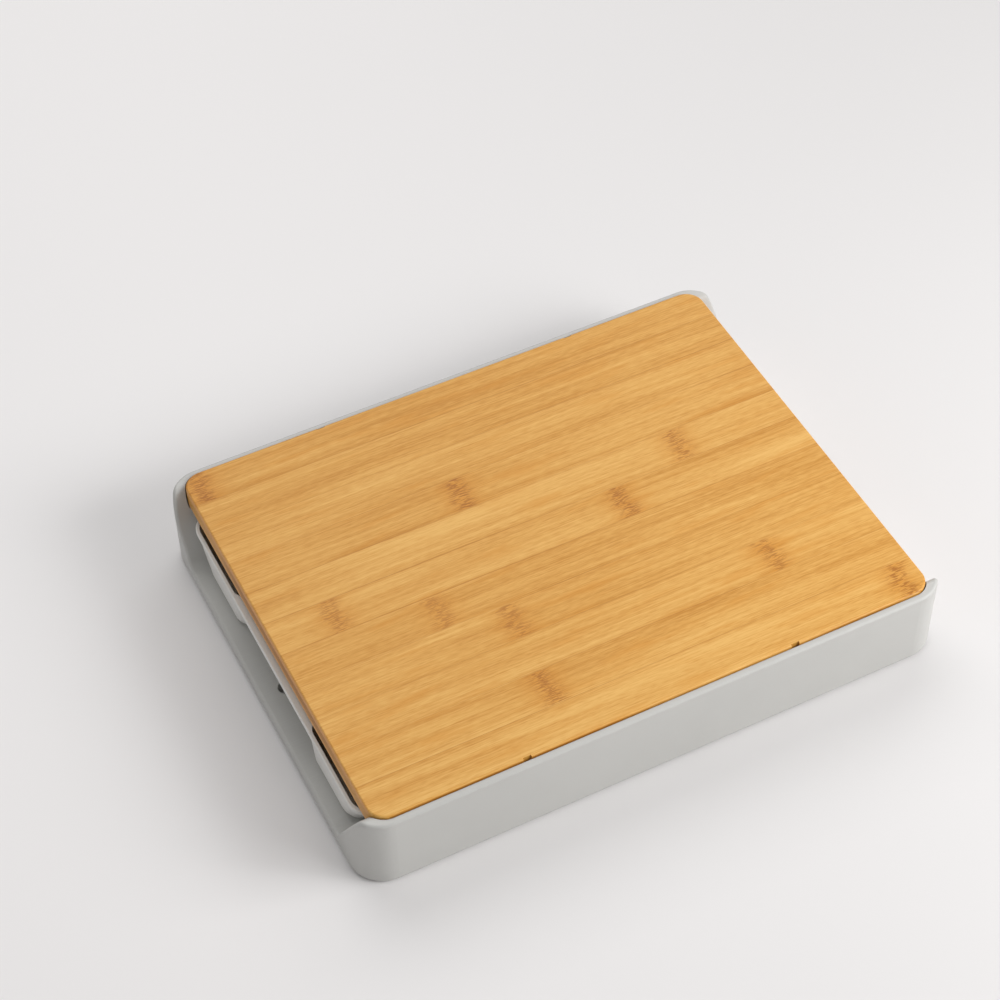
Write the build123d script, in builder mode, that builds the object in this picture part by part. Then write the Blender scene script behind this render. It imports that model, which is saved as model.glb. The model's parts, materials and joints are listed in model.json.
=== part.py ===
"""Cutting board with two drawer trays.

A laminated bamboo board lies in a moulded plastic housing. The housing is open at both short
ends, and a moulded tray slides out of each end, under the board.

Frame: +X along the board's length, +Y across it, +Z up. The origin is on the table, under the
middle of the board. Millimetres.
"""

import os
from math import radians, tan

from build123d import *

# ---------------------------------------------------------------- driving dimensions

# Housing, outside
length = 340.0              # along X, over the two open ends
width = 258.5               # along Y, over the two long walls
housing_height = 48.5       # from the underside of the skirt to the rim
corner_radius = 19.0        # outer corners, seen from above
wall = 3.6                  # long walls and corners
skirt_chamfer = 0.8         # outer bottom edge
rim_fillet = 1.7            # outer edge of the rim, the ramps and the floor's ends

# Trough that the trays slide in: it is open at both ends, and its sides lean outwards
ramp_inset = 9.5            # from the long wall's outside to the top of the lean, at the rim
ramp_lean = 29.5            # degrees from upright
ramp_foot_radius = 8.0
ramp_top_radius = 5.0
floor_height = 7.8          # the trough's floor above the underside of the skirt
floor_thickness = 2.4
side_thickness = 2.6        # leaning sides, measured along Y
divider_thickness = 2.6     # cross wall between the two trays

# Underside of the housing
ledge_skin = 2.4            # thickness of the ledges that carry the board
rib_thickness = 1.8
rib_setback = 0.8           # the ribs stop this far above the underside of the skirt
long_rib_offsets = (-76.0, -38.0, 0.0, 38.0, 76.0)
cross_rib_offsets = (-108.0, -72.0, -36.0, 0.0, 36.0, 72.0, 108.0)
drain_radius = 4.2          # one hole through the floor at the middle of each end
drain_inset = 14.0          # from the end of the floor to the hole's centre
drain_collar = 1.8          # wall round the hole, under the floor

# Locating keys: small ribs on the long walls that enter notches in the board's edges
key_offset = 77.0           # along X, each side of the middle
key_width = 3.0
key_reach = 1.0             # out of the long wall
key_drop = 3.0              # the key stops this far below the rim
notch_width = 4.6
notch_depth = 1.2

# Board
board_thickness = 12.5
board_proud = 1.6           # the board's top above the rim
board_side_gap = 0.5        # to each long wall
board_end_inset = 9.5       # from the housing's end to the board's end
board_end_gap = 0.7         # to the four corner cheeks, which hold the board lengthwise
board_corner_radius = 10.5
board_edge_fillet = 1.2     # all round the cutting face
board_edge_chamfer = 1.0    # all round the underside
face_ply = 3.5              # thickness of the face and the back ply
strips_across = 12          # strips in the face ply and in the back ply
strips_along = 12           # strips in the core, which lie across the board
board_seat_gap = 0.1

# Trays
tray_side_gap = 0.8         # from the rim to the leaning sides of the trough
tray_head_gap = 3.5         # from the tray's rim up to the board
tray_floor_gap = 0.2        # running gap over the housing's floor
tray_end_inset = 6.8        # from the housing's end to the tray's rim
tray_back_gap = 1.0         # to the divider
tray_front_radius = 11.0    # rim corners at the open end
tray_back_radius = 9.0      # rim corners at the divider
tray_wall = 1.5
tray_floor = 1.8
tray_draft = 3.5            # degrees, front, back and recess; the sides lean like the trough's
tray_floor_fillet = 3.5     # outer edge of the tray's floor
rim_overhang = 0.4          # the rim flange stands out of the wall
rim_flange = 2.6            # height of the rim flange and thickness of the finger lip
rim_flange_fillet = 0.7
recess_mouth = 94.0         # finger recess, width at the tray's front
recess_back = 70.0          # its width at the back
recess_depth = 22.0
recess_mouth_radius = 9.0
recess_back_radius = 12.0

# Rubber feet
foot_radius = 7.0
foot_stand = 1.0            # the feet lift the skirt this far off the table
foot_sink = 1.2             # depth of the seat in the boss
foot_edge_chamfer = 0.4
boss_wall = 1.8             # round wall of the boss that holds the foot
foot_x = 128.0
foot_y = 86.0

# ---------------------------------------------------------------- worked-out places

base_level = foot_stand
rim_level = base_level + housing_height
floor_level = base_level + floor_height
ledge_level = rim_level + board_proud - board_thickness - board_seat_gap
board_bottom = ledge_level + board_seat_gap
board_top = board_bottom + board_thickness
tray_bottom = floor_level + tray_floor_gap
tray_top = ledge_level - tray_head_gap

# How edges and faces are picked by place and direction
near = 0.05
upright_share = 0.99        # of an edge's length along Z, from which it counts as upright

lean = tan(radians(ramp_lean))
draft = tan(radians(tray_draft))
inner_half_width = width / 2 - wall
board_length = length - 2 * board_end_inset
board_width = width - 2 * (wall + board_side_gap)
ramp_top_y = width / 2 - ramp_inset
ramp_foot_y = ramp_top_y - (rim_level - floor_level) * lean
flange_level = tray_top - rim_flange
tray_half_width = ramp_top_y - (rim_level - flange_level) * lean - tray_side_gap
tray_front_x = length / 2 - tray_end_inset
tray_back_x = divider_thickness / 2 + tray_back_gap
tray_length = tray_front_x - tray_back_x
tray_center_x = (tray_front_x + tray_back_x) / 2
inside_level = tray_bottom + tray_floor

os.makedirs("parts", exist_ok=True)


def save(piece, label):
    """Label a finished piece and write its STEP file."""
    piece.label = label
    export_step(piece, f"parts/{label}.step")


# ---------------------------------------------------------------- housing

# Hollow of the housing, open from below: under the floor and behind the leaning sides
hollow_top = ledge_level - ledge_skin
hollow_floor = floor_level - floor_thickness
hollow_top_y = ramp_top_y - (rim_level - hollow_top) * lean + side_thickness
hollow_foot_y = ramp_top_y - (rim_level - hollow_floor) * lean + side_thickness

with BuildPart() as hollow:
    with BuildSketch(Plane.YZ):
        with BuildLine():
            Polyline(
                (inner_half_width, base_level),
                (inner_half_width, hollow_top),
                (hollow_top_y, hollow_top),
                (hollow_foot_y, hollow_floor),
                (-hollow_foot_y, hollow_floor),
                (-hollow_top_y, hollow_top),
                (-inner_half_width, hollow_top),
                (-inner_half_width, base_level),
                close=True,
            )
        make_face()
    extrude(amount=length / 2, both=True)
    with BuildSketch(Plane.XY.offset(base_level)):
        RectangleRounded(length - 2 * wall, width - 2 * wall, corner_radius - wall)
    extrude(amount=housing_height, mode=Mode.INTERSECT)

# Stiffening ribs, which fill thin slices of the hollow
with BuildPart() as ribs:
    with BuildSketch(Plane.XY.offset(base_level + rib_setback)):
        with Locations([(0, y) for y in long_rib_offsets]):
            Rectangle(length, rib_thickness)
        with Locations([(x, 0) for x in cross_rib_offsets]):
            Rectangle(rib_thickness, width)
    extrude(amount=housing_height)
    add(hollow.part, mode=Mode.INTERSECT)

with BuildPart() as housing:
    # Outer block with rounded corners
    with BuildSketch(Plane.XY.offset(base_level)):
        RectangleRounded(length, width, corner_radius)
    extrude(amount=housing_height)
    chamfer(housing.faces().sort_by(Axis.Z)[0].edges(), skirt_chamfer)

    # Trough through both ends
    with BuildSketch(Plane.YZ) as trough_section:
        with BuildLine():
            Polyline(
                (ramp_top_y + ramp_inset, rim_level),
                (ramp_top_y, rim_level),
                (ramp_foot_y, floor_level),
                (-ramp_foot_y, floor_level),
                (-ramp_top_y, rim_level),
                (-ramp_top_y - ramp_inset, rim_level),
                (-ramp_top_y - ramp_inset, rim_level + wall),
                (ramp_top_y + ramp_inset, rim_level + wall),
                close=True,
            )
        make_face()
        fillet(trough_section.vertices().group_by(Axis.Y)[0], ramp_foot_radius)
        lean_tops = trough_section.vertices().group_by(Axis.Y)[-2]
        fillet(lean_tops.sort_by(Axis.X)[1:-1], ramp_top_radius)
    extrude(amount=length / 2 + wall, both=True, mode=Mode.SUBTRACT)

    # Soft outer edge along the rim, down the ramps and across the floor's ends
    outer_faces = housing.faces().filter_by(
        lambda f: abs(f.center().X) > length / 2 - near
        or abs(f.center().Y) > width / 2 - near
        or (f.geom_type == GeomType.CYLINDER and f.radius > corner_radius - near)
    )
    upper_edges = outer_faces.edges().filter_by(
        lambda e: e.center().Z > floor_level - near and abs(e.tangent_at(0.5).Z) < upright_share
    )
    fillet(upper_edges, rim_fillet)

    # Pocket for the board: its floor is the ledges, and its ends are the four corner cheeks
    pocket_length = board_length + 2 * board_end_gap
    pocket_radius = board_corner_radius + board_side_gap
    with BuildSketch(Plane.XY.offset(ledge_level)):
        RectangleRounded(pocket_length, 2 * inner_half_width, pocket_radius)
    extrude(amount=housing_height, mode=Mode.SUBTRACT)

    # Divider between the two trays
    with BuildSketch(Plane.XY.offset(floor_level)):
        Rectangle(divider_thickness, 2 * ramp_top_y)
    extrude(amount=ledge_level - floor_level)

    # Hollow underside with its ribs
    add(hollow.part, mode=Mode.SUBTRACT)
    add(ribs.part)

    # Round bosses that hold the rubber feet
    foot_places = GridLocations(2 * foot_x, 2 * foot_y, 2, 2)
    with BuildSketch(Plane.XY.offset(base_level)):
        with foot_places:
            Circle(foot_radius + boss_wall)
    extrude(amount=floor_height - floor_thickness)
    with BuildSketch(Plane.XY.offset(base_level)):
        with foot_places:
            Circle(foot_radius)
    extrude(amount=foot_sink, mode=Mode.SUBTRACT)

    # Drain holes with a collar under the floor
    drain_x = length / 2 - drain_inset
    drain_places = Locations((drain_x, 0), (-drain_x, 0))
    with BuildSketch(Plane.XY.offset(base_level)):
        with drain_places:
            Circle(drain_radius + drain_collar)
    extrude(amount=floor_height - floor_thickness)
    with BuildSketch(Plane.XY.offset(base_level)):
        with drain_places:
            Circle(drain_radius)
    extrude(amount=floor_height, mode=Mode.SUBTRACT)

    # Locating keys on the long walls
    key_y = inner_half_width - key_reach / 2
    with BuildSketch(Plane.XY.offset(ledge_level)):
        with GridLocations(2 * key_offset, 2 * key_y, 2, 2):
            Rectangle(key_width, key_reach)
    extrude(amount=rim_level - key_drop - ledge_level)

save(housing.part, "housing")

# ---------------------------------------------------------------- trays


def tray_block(inset, bottom):
    """Block with leaning walls and the finger recess: the tray's outside, or its inside."""
    top_y = tray_half_width - rim_overhang - inset
    bottom_y = top_y - (tray_top - bottom) * lean
    front_x = tray_front_x - rim_overhang - inset
    back_x = tray_back_x + rim_overhang + inset
    draft_in = (tray_top - bottom) * draft
    overshoot = recess_depth / 2
    mouth_flare = (recess_mouth - recess_back) / 2 * overshoot / recess_depth
    with BuildPart() as block:
        with BuildSketch(Plane.YZ):
            with BuildLine():
                Polyline(
                    (top_y, tray_top),
                    (bottom_y, bottom),
                    (-bottom_y, bottom),
                    (-top_y, tray_top),
                    close=True,
                )
            make_face()
        extrude(amount=length / 2)
        with BuildSketch(Plane.XZ):
            with BuildLine():
                Polyline(
                    (back_x, tray_top),
                    (back_x + draft_in, bottom),
                    (front_x - draft_in, bottom),
                    (front_x, tray_top),
                    close=True,
                )
            make_face()
        extrude(amount=width / 2, both=True, mode=Mode.INTERSECT)

        # Finger recess, drawn past the front so that it is open there
        with BuildSketch(Plane.XY.offset(bottom)):
            with BuildLine():
                Polyline(
                    (tray_front_x + overshoot, recess_mouth / 2 + draft_in + mouth_flare),
                    (tray_front_x - recess_depth - draft_in, recess_back / 2 + draft_in),
                    (tray_front_x - recess_depth - draft_in, -recess_back / 2 - draft_in),
                    (tray_front_x + overshoot, -recess_mouth / 2 - draft_in - mouth_flare),
                    close=True,
                )
            make_face()
            if inset > 0:
                offset(amount=inset, kind=Kind.INTERSECTION)
        extrude(amount=tray_top - bottom, taper=tray_draft, mode=Mode.SUBTRACT)

        # Upright edges, all of them half-way up at their middle
        middle = (tray_top + bottom) / 2
        upright = block.edges().filter_by(lambda e: abs(e.center().Z - middle) < near)
        back_corners = upright.filter_by(lambda e: e.center().X < tray_center_x)
        fillet(back_corners, tray_back_radius - rim_overhang - inset)
        upright = block.edges().filter_by(lambda e: abs(e.center().Z - middle) < near)
        recess_edges = upright.filter_by(lambda e: abs(e.center().Y) < recess_mouth / 2 + draft_in)
        fillet(recess_edges.group_by(Axis.X)[0], recess_back_radius + inset)
        upright = block.edges().filter_by(lambda e: abs(e.center().Z - middle) < near)
        front_edges = upright.group_by(Axis.X)[-1].sort_by(Axis.Y)
        fillet(front_edges[1:-1], recess_mouth_radius - inset)
        upright = block.edges().filter_by(lambda e: abs(e.center().Z - middle) < near)
        front_edges = upright.group_by(Axis.X)[-1].sort_by(Axis.Y)
        fillet([front_edges[0], front_edges[-1]], tray_front_radius - rim_overhang - inset)
    return block.part


with BuildPart() as tray_inside:
    add(tray_block(tray_wall, inside_level))
    inside_fillet = tray_floor_fillet - tray_wall
    fillet(tray_inside.faces().sort_by(Axis.Z)[0].edges(), inside_fillet)

with BuildPart() as tray_right:
    # Walls: the sides lean like the trough's, so that the tray passes out of the open end
    add(tray_block(0, tray_bottom))
    fillet(tray_right.faces().sort_by(Axis.Z)[0].edges(), tray_floor_fillet)

    # Rim flange, and the flat lip over the finger recess
    with BuildSketch(Plane.XY.offset(tray_top)) as rim_outline:
        with Locations((tray_center_x, 0)):
            Rectangle(tray_length, 2 * tray_half_width)
        fillet(rim_outline.vertices().group_by(Axis.X)[0], tray_back_radius)
        fillet(rim_outline.vertices().group_by(Axis.X)[-1], tray_front_radius)
    extrude(amount=-rim_flange)
    fillet(tray_right.faces().sort_by(Axis.Z)[-1].edges(), rim_flange_fillet)

    add(tray_inside.part, mode=Mode.SUBTRACT)

with BuildPart() as tray_left:
    add(mirror(tray_right.part, about=Plane.YZ, mode=Mode.PRIVATE))

save(tray_right.part, "tray_right")
save(tray_left.part, "tray_left")

# ---------------------------------------------------------------- board

with BuildPart() as board_blank:
    with BuildSketch(Plane.XY.offset(board_bottom)):
        RectangleRounded(board_length, board_width, board_corner_radius)
    extrude(amount=board_thickness)
    chamfer(board_blank.faces().sort_by(Axis.Z)[0].edges(), board_edge_chamfer)
    fillet(board_blank.faces().sort_by(Axis.Z)[-1].edges(), board_edge_fillet)
    notch_y = board_width / 2 - notch_depth / 2
    with BuildSketch(Plane.XY.offset(board_bottom)):
        with GridLocations(2 * key_offset, 2 * notch_y, 2, 2):
            Rectangle(notch_width, notch_depth)
    extrude(amount=board_thickness, mode=Mode.SUBTRACT)

strip_width = board_width / strips_across
core_strip_width = board_length / strips_along
core_thickness = board_thickness - 2 * face_ply


def cut_strip(label, plane, size_x, size_y, thickness):
    """Cut one strip of the board out of the finished blank and save it."""
    with BuildPart() as strip:
        with BuildSketch(plane):
            Rectangle(size_x, size_y)
        extrude(amount=thickness)
        add(board_blank.part, mode=Mode.INTERSECT)
    save(strip.part, label)


for number in range(1, strips_across + 1):
    strip_y = (number - (strips_across + 1) / 2) * strip_width
    back_plane = Plane((0, strip_y, board_bottom))
    face_plane = Plane((0, strip_y, board_top - face_ply))
    cut_strip(f"board_back_strip_{number:02d}", back_plane, board_length, strip_width, face_ply)
    cut_strip(f"board_face_strip_{number:02d}", face_plane, board_length, strip_width, face_ply)

for number in range(1, strips_along + 1):
    strip_x = (number - (strips_along + 1) / 2) * core_strip_width
    core_plane = Plane((strip_x, 0, board_bottom + face_ply))
    label = f"board_core_strip_{number:02d}"
    cut_strip(label, core_plane, core_strip_width, board_width, core_thickness)

# ---------------------------------------------------------------- rubber feet

for side_x, name_x in ((-1, "left"), (1, "right")):
    for side_y, name_y in ((-1, "front"), (1, "back")):
        foot_plane = Plane((side_x * foot_x, side_y * foot_y, 0))
        with BuildPart() as foot:
            with BuildSketch(foot_plane):
                Circle(foot_radius)
            extrude(amount=foot_stand + foot_sink)
            chamfer(foot.faces().sort_by(Axis.Z)[0].edges(), foot_edge_chamfer)
        save(foot.part, f"foot_{name_y}_{name_x}")
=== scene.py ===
"""Looks of the cutting board with two drawer trays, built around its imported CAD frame.

Metres, +X along the board, +Y across it, +Z up, with the table at Z = 0.
"""

import json
import logging
import math
from dataclasses import dataclass, field
from enum import Enum
from typing import Any

import bpy
from mathutils import Matrix, Vector

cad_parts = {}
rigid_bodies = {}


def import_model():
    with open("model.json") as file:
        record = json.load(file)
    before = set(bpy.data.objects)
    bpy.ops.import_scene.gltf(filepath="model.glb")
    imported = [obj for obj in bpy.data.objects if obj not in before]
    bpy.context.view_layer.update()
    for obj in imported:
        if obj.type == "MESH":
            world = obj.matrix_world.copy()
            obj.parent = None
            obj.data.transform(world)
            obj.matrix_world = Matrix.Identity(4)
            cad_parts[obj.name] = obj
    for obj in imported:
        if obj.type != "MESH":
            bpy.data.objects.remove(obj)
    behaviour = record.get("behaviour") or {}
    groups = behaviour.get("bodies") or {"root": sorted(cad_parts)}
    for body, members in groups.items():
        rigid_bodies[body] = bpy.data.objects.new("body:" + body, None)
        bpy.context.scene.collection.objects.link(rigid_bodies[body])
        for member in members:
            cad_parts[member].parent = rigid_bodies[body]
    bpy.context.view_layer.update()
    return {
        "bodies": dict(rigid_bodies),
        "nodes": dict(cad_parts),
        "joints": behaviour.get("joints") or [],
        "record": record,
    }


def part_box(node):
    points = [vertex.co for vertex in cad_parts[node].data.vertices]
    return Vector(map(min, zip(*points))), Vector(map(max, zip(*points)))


LOG = logging.getLogger("cutting_board")
PHOTO_WIDTH = 1000
NOISE_MIDDLE = 0.5
STRIP_SHIFT = 3.71

Colour = tuple[float, float, float]


class Grain(Enum):
    """The way in which a bamboo strip's fibres run."""

    ALONG_X = "x"
    ALONG_Y = "y"


# ------------------------------------------------------------------ shader maths


class Wire:
    """A shader socket that takes part in Python expressions."""

    def __init__(self, tree: "MaterialTree", socket: bpy.types.NodeSocket) -> None:
        """Keeps the socket and the tree that it belongs to.

        Args:
            tree: The material tree that new nodes go into.
            socket: The output socket that this wire stands for.
        """
        self.tree = tree
        self.socket = socket

    def math(self, operation: str, *others: "Wire | float") -> "Wire":
        """Adds one Math node with this wire as its first value.

        Args:
            operation: The Math node's operation.
            others: Its second and third values.

        Returns:
            The node's result.
        """
        sockets = dict(enumerate((self, *others)))
        return self.tree.make("ShaderNodeMath", {"operation": operation}, sockets)

    def __add__(self, other: "Wire | float") -> "Wire":
        """Sum."""
        return self.math("ADD", other)

    __radd__ = __add__

    def __mul__(self, other: "Wire | float") -> "Wire":
        """Product."""
        return self.math("MULTIPLY", other)

    __rmul__ = __mul__

    def __sub__(self, other: "Wire | float") -> "Wire":
        """Difference."""
        return self.math("SUBTRACT", other)

    def __rsub__(self, other: float) -> "Wire":
        """Difference from a number."""
        return self * -1.0 + other

    def __truediv__(self, other: "Wire | float") -> "Wire":
        """Quotient."""
        return self.math("DIVIDE", other)

    def __abs__(self) -> "Wire":
        """Absolute value."""
        return self.math("ABSOLUTE")

    def floor(self) -> "Wire":
        """The next whole number down."""
        return self.math("FLOOR")

    def smallest(self, other: "Wire | float") -> "Wire":
        """The smaller of two values."""
        return self.math("MINIMUM", other)

    def bell(self) -> "Wire":
        """A smooth hill that is 1 where this wire is 0 and fades out past 1 and -1."""
        sockets = {0: math.e, 1: self * self * -1.0}
        return self.tree.make("ShaderNodeMath", {"operation": "POWER"}, sockets)

    def between(self, low: float, high: float) -> "Wire":
        """A smooth step of this wire.

        Args:
            low: Where the step starts, at 0.
            high: Where it ends, at 1.

        Returns:
            The step's height.
        """
        settings = {"interpolation_type": "SMOOTHSTEP"}
        sockets = {"Value": self, "From Min": low, "From Max": high}
        return self.tree.make("ShaderNodeMapRange", settings, sockets)


class MaterialTree:
    """A node material under construction."""

    def __init__(self, name: str) -> None:
        """Makes an empty material with a Principled shader.

        Args:
            name: The material's name.
        """
        self.material = bpy.data.materials.new(name)
        self.material.use_nodes = True
        self.nodes = self.material.node_tree.nodes
        self.links = self.material.node_tree.links
        self.shader = self.nodes["Principled BSDF"]

    def make(self, kind: str, settings: dict[str, Any], sockets: dict[Any, Any],
             output: Any = 0) -> Wire:
        """Adds any node.

        Args:
            kind: The node's type.
            settings: Attributes that are set first; "stops" holds a colour ramp's stops.
            sockets: Values or wires for the node's inputs, by name or number.
            output: The name or number of the output that is wanted.

        Returns:
            That output.
        """
        node = self.nodes.new(kind)
        for key, value in settings.items():
            if key == "stops":
                self._set_stops(node.color_ramp, value)
            else:
                setattr(node, key, value)
        for key, value in sockets.items():
            self.plug(node.inputs[key], value)
        return Wire(self, node.outputs[output])

    def plug(self, socket: bpy.types.NodeSocket, value: Any) -> None:
        """Links a wire to an input socket, or sets the socket to a value.

        Args:
            socket: The input socket.
            value: A wire, a number, a vector or a colour.
        """
        if isinstance(value, Wire):
            self.links.new(value.socket, socket)
        elif socket.type == "RGBA" and len(value) == 3:
            socket.default_value = (*value, 1.0)
        else:
            socket.default_value = value

    @staticmethod
    def _set_stops(ramp: bpy.types.ColorRamp, stops: list[tuple[float, Colour]]) -> None:
        """Gives a colour ramp its stops.

        Args:
            ramp: The ramp.
            stops: Places from 0 to 1 and their colours.
        """
        while len(ramp.elements) < len(stops):
            ramp.elements.new(1.0)
        for element, (place, colour) in zip(ramp.elements, stops):
            element.position = place
            element.color = (*colour, 1.0)

    def place(self) -> tuple[Wire, Wire, Wire]:
        """The point's X, Y and Z in the object's own frame."""
        point = self.make("ShaderNodeTexCoord", {}, {}, "Object")
        split = self.make("ShaderNodeSeparateXYZ", {}, {0: point}).socket.node
        return tuple(Wire(self, output) for output in split.outputs)

    def noise(self, x: Wire, y: Wire, z: Wire, detail: float = 2.0, rough: float = 0.5) -> Wire:
        """A noise value near 0.5 whose coordinates have their own scales.

        Args:
            x: First coordinate, scaled.
            y: Second coordinate, scaled.
            z: Third coordinate, scaled.
            detail: Octaves of finer noise.
            rough: How strong the finer octaves are.

        Returns:
            The noise.
        """
        point = self.make("ShaderNodeCombineXYZ", {}, {0: x, 1: y, 2: z})
        sockets = {"Vector": point, "Scale": 1.0, "Detail": detail, "Roughness": rough}
        return self.make("ShaderNodeTexNoise", {}, sockets)

    def grit(self, point: tuple[Wire, Wire, Wire], scale: float, detail: float) -> Wire:
        """A noise value that is the same in every direction.

        Args:
            point: The three coordinates in metres.
            scale: Noise cells per metre.
            detail: Octaves of finer noise.

        Returns:
            The noise.
        """
        x, y, z = (part * scale for part in point)
        return self.noise(x, y, z, detail)

    def mix(self, share: Wire | float, first: Any, second: Any) -> Wire:
        """Mixes two colours.

        Args:
            share: How much of the second colour shows.
            first: A colour or wire.
            second: A colour or wire.

        Returns:
            The mixed colour.
        """
        return self.make("ShaderNodeMix", {"data_type": "RGBA"}, {0: share, 6: first, 7: second}, 2)

    def ramp(self, value: Wire, stops: list[tuple[float, Colour]]) -> Wire:
        """Colours a value.

        Args:
            value: From 0 to 1.
            stops: The ramp's places and colours.

        Returns:
            The colour.
        """
        return self.make("ShaderNodeValToRGB", {"stops": stops}, {0: value}, "Color")

    def steps(self, value: Wire, tones: tuple[float, ...]) -> Wire:
        """Gives each of several equal stretches of a value its own tone.

        Args:
            value: From 0 to 1.
            tones: One tone from 0 to 1 for each stretch.

        Returns:
            The tone.
        """
        stops = [(number / len(tones), (tone, tone, tone)) for number, tone in enumerate(tones)]
        step = self.ramp(value, stops)
        step.socket.node.color_ramp.interpolation = "CONSTANT"
        return step

    def bump(self, height: Wire, strength: float, distance: float) -> Wire:
        """Turns a height into a bumped normal.

        Args:
            height: Height from 0 to 1.
            strength: How strongly it shows.
            distance: Metres that a height of 1 stands for.

        Returns:
            The normal.
        """
        sockets = {"Height": height, "Strength": strength, "Distance": distance}
        return self.make("ShaderNodeBump", {}, sockets)

    def finish(self, **inputs: Any) -> bpy.types.Material:
        """Plugs values or wires into the Principled shader.

        Args:
            inputs: Shader inputs by name, with _ for a space.

        Returns:
            The finished material.
        """
        for name, value in inputs.items():
            self.plug(self.shader.inputs[name.replace("_", " ")], value)
        return self.material


# ------------------------------------------------------------------ finishes


@dataclass(frozen=True)
class KnuckleMark:
    """A place where a bamboo stalk's joint shows in a strip.

    Attributes:
        strip: The strip's number, from 1.
        along: Metres along the strip.
        strength: How dark the mark is, from 0 to 1.
    """

    strip: int
    along: float
    strength: float


@dataclass(frozen=True)
class Ply:
    """One layer of strips, as its grain shows.

    Attributes:
        grain: The way in which the fibres run.
        low: Where the first strip starts, across the fibres, in metres.
        pitch: The strips' width in metres.
        half_length: From the middle to the strips' ends, in metres.
        tones: Lightness of each strip, from 0 to 1.
        marks: The stalk joints that show.
        seed: Moves the pattern, so that no two plies are alike.
    """

    grain: Grain
    low: float
    pitch: float
    half_length: float
    tones: tuple[float, ...]
    marks: tuple[KnuckleMark, ...]
    seed: float


@dataclass(frozen=True)
class Streaks:
    """One size of streak in the bamboo's grain.

    Attributes:
        along: Noise cells per metre along the fibres.
        across: Noise cells per metre across them.
        tint: How much the streaks change the colour.
        detail: Octaves of finer noise.
        rough: How strong the finer octaves are.
        way: 1 or -1, the way in which the pattern moves from strip to strip.
    """

    along: float
    across: float
    tint: float
    detail: float = 1.0
    rough: float = 0.5
    way: float = 1.0


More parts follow.
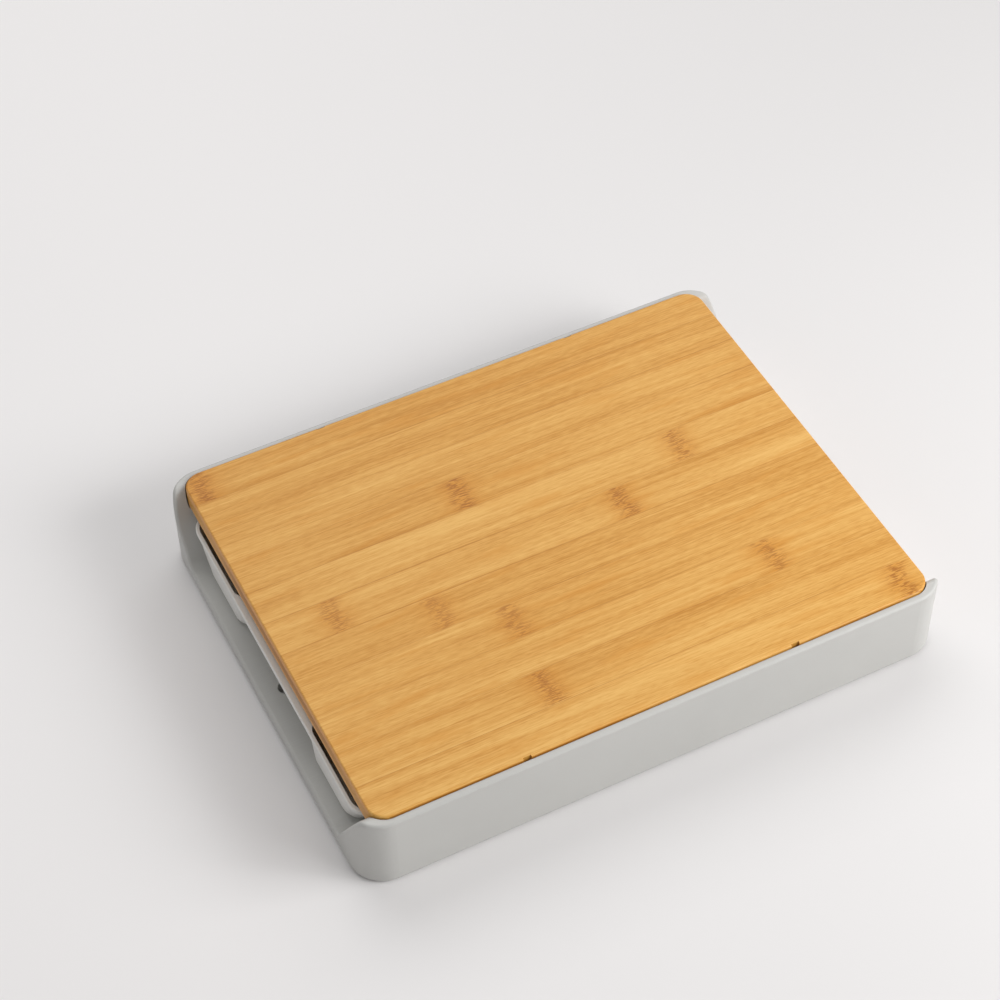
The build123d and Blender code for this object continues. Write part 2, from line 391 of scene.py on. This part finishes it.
@dataclass(frozen=True)
class BambooFinish:
    """Oiled laminated bamboo.

    Attributes:
        pale: The lightest wood.
        gold: The middle tone.
        deep: The darkest wood.
        amber: Warm patches, and the halo round a stalk joint.
        burnt: Seams, pores and the dashes of a stalk joint.
        end_tan: Cut ends.
        streaks: Clouds, bundles, fibres and dashes, from coarse to fine.
        tone_tint: How much a strip's own tone changes the colour.
        warm_share: How amber the warm patches are.
        edge_reach: Metres from a seam over which a strip darkens.
        edge_tint: How much it darkens.
        seam_half_width: Metres from a seam's middle to its edge.
        seam_share: How dark a faint seam is, and what a strong one adds.
        end_band: Metres from a strip's end that show cut fibres.
        end_share: How much of the end's own colour shows.
        pore_share: How dark the cut pores are.
        halo_share: How amber a stalk joint's halo is.
        dash_share: How dark its dashes are.
        knuckle_half_length: Metres from a stalk joint's middle to its edge.
        halo_stretch: How much longer the halo is than the dashes.
    """

    pale: Colour = (0.752, 0.428, 0.112)
    gold: Colour = (0.650, 0.326, 0.063)
    deep: Colour = (0.523, 0.222, 0.020)
    amber: Colour = (0.600, 0.236, 0.012)
    burnt: Colour = (0.345, 0.112, 0.003)
    end_tan: Colour = (0.720, 0.375, 0.148)
    streaks: tuple[Streaks, ...] = (
        Streaks(5.0, 75.0, 0.98),
        Streaks(9.0, 270.0, 1.0, 2.0, 0.75, -1.0),
        Streaks(13.0, 1150.0, 1.2, 2.0, 0.75),
        Streaks(160.0, 1700.0, 1.0),
    )
    tone_tint: float = 0.55
    warm_share: float = 0.45
    edge_reach: float = 0.0016
    edge_tint: float = 0.30
    seam_half_width: float = 0.00018
    seam_share: tuple[float, float] = (0.20, 0.50)
    end_band: float = 0.0007
    end_share: float = 0.75
    pore_share: float = 0.40
    halo_share: float = 0.62
    dash_share: float = 0.90
    knuckle_half_length: float = 0.0054
    halo_stretch: float = 1.9

    def dress(self, name: str, ply: Ply) -> bpy.types.Material:
        """Makes the material of one ply.

        Args:
            name: The material's name.
            ply: The ply's strips.

        Returns:
            The material.
        """
        tree = MaterialTree(name)
        x, y, z = tree.place()
        along, across = (x, y) if ply.grain is Grain.ALONG_X else (y, x)
        place = (across - ply.low) / ply.pitch
        strip = place.floor()
        shift = strip * STRIP_SHIFT + ply.seed
        drift = tree.noise(along * 6.0, across * 30.0 + shift, z * 6.0, 1.0) - NOISE_MIDDLE
        line = across + drift * 0.0030

        tone = tree.steps((across - ply.low) / (ply.pitch * len(ply.tones)), ply.tones)
        tint = (tone - NOISE_MIDDLE) * self.tone_tint
        layers = []
        for size in self.streaks:
            layer = tree.noise(along * size.along + shift * size.way, line * size.across,
                               z * size.across, size.detail, size.rough) - NOISE_MIDDLE
            tint = tint + layer * size.tint
            layers.append(layer)
        fibres, dashes = layers[-2:]

        to_seam = abs(place - strip - 0.5) * -ply.pitch + ply.pitch / 2
        strong = tree.noise(along * 9.0 + shift * 5.0, shift, shift, 1.0).between(0.42, 0.68)
        edge = (to_seam / self.edge_reach).bell() * strong
        tint = tint - edge * self.edge_tint + NOISE_MIDDLE
        colour = tree.ramp(tint, [(0.0, self.deep), (0.5, self.gold), (1.0, self.pale)])
        warm = tree.noise(along * 22.0 + shift, line * 150.0, z * 150.0).between(0.50, 0.80)
        colour = tree.mix(warm * self.warm_share, colour, self.amber)

        height = fibres * 0.6 + dashes * 0.5
        if ply.marks:
            halo, dark = self._knuckles(tree, along, across, place, shift, ply.marks)
            colour = tree.mix(halo, colour, self.amber)
            colour = tree.mix(dark, colour, self.burnt)
            height = height - dark * 0.08
        faint, added = self.seam_share
        seam = (to_seam / self.seam_half_width).bell() * (strong * added + faint)
        colour = tree.mix(seam, colour, self.burnt)

        end_start = ply.half_length - self.end_band
        end = abs(along).between(end_start, ply.half_length - self.end_band / 3)
        pores = tree.noise(across * 1900.0, z * 1900.0, along * 0.0)
        cut = tree.mix(pores.between(0.45, 0.75) * self.pore_share, self.end_tan, self.burnt)
        colour = tree.mix(end * self.end_share, colour, cut)
        rough = fibres * 0.20 + dashes * 0.10 + end * 0.12 + 0.46
        normal = tree.bump(height - end * pores * 0.5, 0.25, 0.0001)
        return tree.finish(Base_Color=colour, Roughness=rough, Normal=normal, Coat_Weight=0.05,
                           Coat_Roughness=0.40, Specular_IOR_Level=0.38)

    def _knuckles(self, tree: MaterialTree, along: Wire, across: Wire, place: Wire, shift: Wire,
                  marks: tuple[KnuckleMark, ...]) -> tuple[Wire, Wire]:
        """The short dashes and the amber halo of stalk joints.

        Args:
            tree: The material tree.
            along: Metres along the strips.
            across: Metres across them.
            place: Strips across, counted from the ply's edge.
            shift: Moves the pattern from strip to strip.
            marks: The joints.

        Returns:
            The share of amber and the share of burnt brown, from 0 to 1.
        """
        sway = (tree.noise(across * 120.0 + shift, shift, shift, 1.0) - NOISE_MIDDLE) * 0.009
        fray = (tree.noise(across * 1700.0 + shift, shift, shift, 0.0) - NOISE_MIDDLE) * 0.011
        comb = tree.noise(along * 260.0, across * 1650.0 + shift, shift, 1.0).between(0.42, 0.56)
        halo = dark = None
        for mark in marks:
            inside = abs(place - (mark.strip - 0.5)).between(0.5, 0.47)
            reach = (along - mark.along + sway + fray) / self.knuckle_half_length
            core = reach.bell() * inside * mark.strength
            glow = (reach / self.halo_stretch).bell() * inside * mark.strength
            dark = core if dark is None else dark + core
            halo = glow if halo is None else halo + glow
        return halo.smallest(1.0) * self.halo_share, (dark * comb).smallest(1.0) * self.dash_share


@dataclass(frozen=True)
class MouldedFinish:
    """Satin moulded plastic with a fine spark-eroded texture.

    Attributes:
        colour: The plastic's colour.
        shade: The colour of its darker mottles.
        roughness: Its roughness.
        texture: How strongly its texture shows.
        rub_colour: The colour of rubbed plastic.
        rub_share: How much of that colour shows.
        rub_gloss: How much smoother it is.
        rub_depth: Metres above and below the rubbed level that are rubbed as well.
    """

    colour: Colour
    shade: Colour
    roughness: float
    texture: float = 0.20
    rub_colour: Colour = (0.60, 0.62, 0.61)
    rub_share: float = 0.22
    rub_gloss: float = 0.10
    rub_depth: float = 0.0006

    def dress(self, name: str, rub_level: float | None = None) -> bpy.types.Material:
        """Makes the material.

        Args:
            name: The material's name.
            rub_level: Height of a surface that a tray slides on, or None.

        Returns:
            The material.
        """
        tree = MaterialTree(name)
        point = tree.place()
        mottle = tree.grit(point, 14.0, 3.0)
        speck = tree.grit(point, 1500.0, 1.0)
        swirl = tree.grit(point, 60.0, 2.0)
        share = mottle * 0.6 + swirl * 0.25 + speck * 0.35 - 0.1
        colour = tree.mix(share.between(0.25, 0.85), self.colour, self.shade)
        rough = speck * 0.10 + mottle * 0.08 + (self.roughness - 0.09)
        if rub_level is not None:
            x, y, z = point
            near = (abs(z - rub_level) / self.rub_depth).bell()
            lines = tree.noise(x * 6.0, y * 1300.0, z * 10.0).between(0.55, 0.72)
            colour = tree.mix(near * lines * self.rub_share, colour, self.rub_colour)
            rough = rough - near * lines * self.rub_gloss
        normal = tree.bump(speck * 0.8 + swirl * 0.2, self.texture, 0.00006)
        return tree.finish(Base_Color=colour, Roughness=rough, Normal=normal,
                           Specular_IOR_Level=0.45)


@dataclass(frozen=True)
class RubberFinish:
    """Soft dull rubber."""

    colour: Colour = (0.060, 0.062, 0.064)
    dusty: Colour = (0.16, 0.16, 0.155)

    def dress(self, name: str) -> bpy.types.Material:
        """Makes the material.

        Args:
            name: The material's name.

        Returns:
            The material.
        """
        tree = MaterialTree(name)
        dust = tree.grit(tree.place(), 420.0, 3.0)
        colour = tree.mix(dust.between(0.45, 0.75) * 0.35, self.colour, self.dusty)
        normal = tree.bump(dust, 0.3, 0.0001)
        return tree.finish(Base_Color=colour, Roughness=dust * 0.12 + 0.72, Normal=normal)


# ------------------------------------------------------------------ sub-assemblies


def redress(node: bpy.types.Object, material: bpy.types.Material) -> None:
    """Gives a CAD node a new material.

    Args:
        node: The node's object.
        material: Its new material.
    """
    if not node.material_slots:
        node.data.materials.append(material)
    for entry in node.material_slots:
        entry.material = material


@dataclass
class LaminatedBoard:
    """The bamboo board: a face ply and a back ply of long strips, and a core of cross strips.

    Each tone is one strip that the finish shows. The finish of the face and the back shows 11
    strips, as the photograph does, on the 12 CAD nodes that each of them has.
    """

    nodes: dict[str, bpy.types.Object]
    node_count: int = 12
    bamboo: BambooFinish = field(default_factory=BambooFinish)
    face_tones: tuple[float, ...] = (
        0.79, 0.53, 0.55, 0.40, 0.26, 0.65, 0.80, 0.47, 0.51, 0.43, 0.35)
    back_tones: tuple[float, ...] = (
        0.45, 0.60, 0.35, 0.55, 0.70, 0.40, 0.50, 0.30, 0.62, 0.48, 0.38)
    core_tones: tuple[float, ...] = (
        0.50, 0.35, 0.60, 0.42, 0.55, 0.30, 0.65, 0.45, 0.38, 0.58, 0.48, 0.52)
    face_marks: tuple[KnuckleMark, ...] = (
        KnuckleMark(1, 0.1480, 0.95),
        KnuckleMark(2, -0.0485, 0.90),
        KnuckleMark(3, 0.0965, 0.80),
        KnuckleMark(4, -0.0445, 0.75),
        KnuckleMark(5, -0.0755, 0.65),
        KnuckleMark(6, -0.1250, 0.75),
        KnuckleMark(6, 0.0455, 0.95),
        KnuckleMark(7, 0.0910, 0.80),
        KnuckleMark(8, -0.0300, 1.00),
        KnuckleMark(11, -0.1525, 1.00),
    )
    back_marks: tuple[KnuckleMark, ...] = (
        KnuckleMark(2, 0.0710, 0.9),
        KnuckleMark(4, -0.1120, 0.8),
        KnuckleMark(5, 0.1030, 0.9),
        KnuckleMark(8, 0.0180, 1.0),
        KnuckleMark(10, -0.0620, 0.8),
    )

    def build(self) -> int:
        """Dresses every strip.

        Returns:
            How many strips were dressed.
        """
        low, high = self._box("face")
        half_length = (high[0] - low[0]) / 2
        half_width = (high[1] - low[1]) / 2
        face_pitch = 2 * half_width / len(self.face_tones)
        core_pitch = 2 * half_length / len(self.core_tones)
        plies = {
            "face": Ply(Grain.ALONG_X, -half_width, face_pitch, half_length, self.face_tones,
                        self.face_marks, 2.3),
            "back": Ply(Grain.ALONG_X, -half_width, face_pitch, half_length, self.back_tones,
                        self.back_marks, 41.7),
            "core": Ply(Grain.ALONG_Y, -half_length, core_pitch, half_width, self.core_tones,
                        (), 88.1),
        }
        for label, ply in plies.items():
            material = self.bamboo.dress(f"bamboo_{label}", ply)
            for name in self._names(label):
                redress(self.nodes[name], material)
        return len(plies) * self.node_count

    def _names(self, ply: str) -> list[str]:
        """The CAD nodes of one ply.

        Args:
            ply: The ply's name.

        Returns:
            The nodes' names.
        """
        return [f"board_{ply}_strip_{number:02d}" for number in range(1, self.node_count + 1)]

    def _box(self, ply: str) -> tuple[list[float], list[float]]:
        """The box round one ply.

        Args:
            ply: The ply's name.

        Returns:
            Its lowest and highest corners.
        """
        corners = [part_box(name) for name in self._names(ply)]
        low = [min(box[0][axis] for box in corners) for axis in range(3)]
        high = [max(box[1][axis] for box in corners) for axis in range(3)]
        return low, high


@dataclass
class MouldedParts:
    """The housing, the two drawer trays and the rubber feet."""

    nodes: dict[str, bpy.types.Object]
    floor_level: float = 0.0088
    housing_finish: MouldedFinish = MouldedFinish(
        (0.515, 0.510, 0.488), (0.488, 0.483, 0.462), 0.46)
    tray_finish: MouldedFinish = MouldedFinish(
        (0.765, 0.752, 0.722), (0.720, 0.708, 0.680), 0.44)

    def build(self) -> int:
        """Dresses the nodes.

        Returns:
            How many nodes were dressed.
        """
        housing = self.housing_finish.dress("housing_plastic", self.floor_level)
        tray = self.tray_finish.dress("tray_plastic")
        rubber = RubberFinish().dress("foot_rubber")
        wanted = {"housing": housing, "tray_left": tray, "tray_right": tray}
        done = 0
        for name, node in self.nodes.items():
            material = wanted.get(name) or (rubber if name.startswith("foot_") else None)
            if material is not None:
                redress(node, material)
                done += 1
        return done


# ------------------------------------------------------------------ studio


@dataclass(frozen=True)
class SoftLamp:
    """A square soft lamp.

    Attributes:
        name: The lamp's name.
        place: Where it hangs, in metres.
        size: Length of its sides in metres.
        power: Watts.
    """

    name: str
    place: tuple[float, float, float]
    size: float
    power: float

    def hang(self, target: Vector) -> None:
        """Puts the lamp up and points it.

        Args:
            target: The point it shines at.
        """
        light = bpy.data.lights.new(self.name, "AREA")
        light.size = self.size
        light.energy = self.power
        lamp = bpy.data.objects.new(self.name, light)
        bpy.context.scene.collection.objects.link(lamp)
        lamp.location = self.place
        lamp.rotation_euler = (target - Vector(self.place)).to_track_quat("-Z", "Y").to_euler()


@dataclass
class Studio:
    """Camera, lamps, world and floor.

    Attributes:
        target: The point that the camera looks at, in metres.
        azimuth: The camera's turn about Z in degrees.
        elevation: Its height above the table in degrees.
        roll: Its turn about its own axis in degrees.
        distance: Metres from the target.
        focal_pixels: Focal length in pixels of the photograph.
        sensor: Width of the camera's sensor in millimetres.
        clip_end: How far the camera sees, in metres.
        world_colour: Colour of the light from all round.
        world_strength: How strong that light is.
        lamp_target: The point that the lamps shine at.
        floor_half: From the floor's middle to its edge in metres.
        floor_left_painted_light: The floor's colour at the camera's left, paler, as painted light.
        floor_right_painted_shade: Its colour at the camera's right, darker, as painted shade
            against the stronger lamps there.
        floor_painted_shade_reach: Metres from the middle at which the one and the other are
            reached.
        lamps: The soft lamps.
    """

    target: Vector = field(default_factory=lambda: Vector((-0.01305, 0.03151, 0.0511)))
    azimuth: float = -26.1707
    elevation: float = 48.8819
    roll: float = -0.91428
    distance: float = 1.30623
    focal_pixels: float = 2429.09
    sensor: float = 36.0
    clip_end: float = 50.0
    world_colour: Colour = (1.0, 0.995, 0.99)
    world_strength: float = 0.36
    lamp_target: Vector = field(default_factory=lambda: Vector((0.0, 0.0, 0.03)))
    floor_half: float = 2.5
    # painted light and shade: the floor is paler at the camera's left and darker at its right, to
    # even out the lamps
    floor_left_painted_light: Colour = (0.862, 0.843, 0.840)
    floor_right_painted_shade: Colour = (0.690, 0.675, 0.672)
    floor_painted_shade_reach: tuple[float, float] = (-0.45, 0.35)
    lamps: tuple[SoftLamp, ...] = (
        SoftLamp("top_lamp", (0.0, 1.3, 1.7), 1.6, 14.2),
        SoftLamp("front_right_lamp", (1.1, -1.4, 1.1), 1.0, 15.6),
        SoftLamp("right_lamp", (0.75, -0.55, 0.6), 0.5, 5.9),
        SoftLamp("back_right_lamp", (1.2, 1.2, 1.2), 1.0, 4.9),
        SoftLamp("left_lamp", (-1.5, -0.2, 0.9), 1.0, 1.5),
    )

    def build(self) -> None:
        """Builds the studio."""
        self._camera()
        self._floor()
        for lamp in self.lamps:
            lamp.hang(self.lamp_target)
        world = bpy.data.worlds.new("studio_world")
        world.use_nodes = True
        backdrop = world.node_tree.nodes["Background"]
        backdrop.inputs["Color"].default_value = (*self.world_colour, 1.0)
        backdrop.inputs["Strength"].default_value = self.world_strength
        bpy.context.scene.world = world
        bpy.context.scene.view_settings.view_transform = "Standard"

    def _camera(self) -> None:
        """Sets the camera at the photograph's angle."""
        turn, lift, tilt = (math.radians(a) for a in (self.azimuth, self.elevation, self.roll))
        flat = math.cos(lift)
        back = Vector((math.sin(turn) * flat, -math.cos(turn) * flat, math.sin(lift)))
        level = Vector((math.cos(turn), math.sin(turn), 0.0))
        upright = back.cross(level)
        right = level * math.cos(tilt) + upright * math.sin(tilt)
        upward = upright * math.cos(tilt) - level * math.sin(tilt)
        frame = Matrix((right, upward, back)).transposed().to_4x4()
        lens = bpy.data.cameras.new("photo_camera")
        lens.sensor_width = self.sensor
        lens.lens = self.focal_pixels * self.sensor / PHOTO_WIDTH
        lens.clip_end = self.clip_end
        camera = bpy.data.objects.new("photo_camera", lens)
        bpy.context.scene.collection.objects.link(camera)
        camera.matrix_world = Matrix.Translation(self.target + back * self.distance) @ frame
        bpy.context.scene.camera = camera

    def _floor(self) -> None:
        """Lays the plain pale floor, with painted light making it a little paler at the camera's
        left and painted shade making it darker at its right.
        """
        bpy.ops.object.select_all(action="DESELECT")
        bpy.ops.mesh.primitive_plane_add(size=2 * self.floor_half, location=(0.0, 0.0, 0.0))
        floor = bpy.context.active_object
        floor.name = "studio_floor"
        tree = MaterialTree("studio_floor")
        point = tree.place()
        x, y, _ = point
        rightward = x * 0.9 - y * 0.44
        # painted shade: the floor's colour darkens towards the camera's right and is paler, as
        # painted light, at its left; the grit adds a little random tone
        share = rightward.between(*self.floor_painted_shade_reach) + tree.grit(point, 3.0, 2.0) * 0.10 - 0.05
        colour = tree.mix(share, self.floor_left_painted_light, self.floor_right_painted_shade)
        floor.data.materials.append(tree.finish(Base_Color=colour, Roughness=0.55))


def main() -> None:
    """Builds the whole scene around the CAD frame."""
    logging.basicConfig(level=logging.INFO, format="%(message)s")
    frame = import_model()
    Studio().build()
    strips = LaminatedBoard(frame["nodes"]).build()
    LOG.info("board: %d strips", strips)
    moulded = MouldedParts(frame["nodes"]).build()
    LOG.info("moulded parts and feet: %d", moulded)


if __name__ == "__main__":
    main()
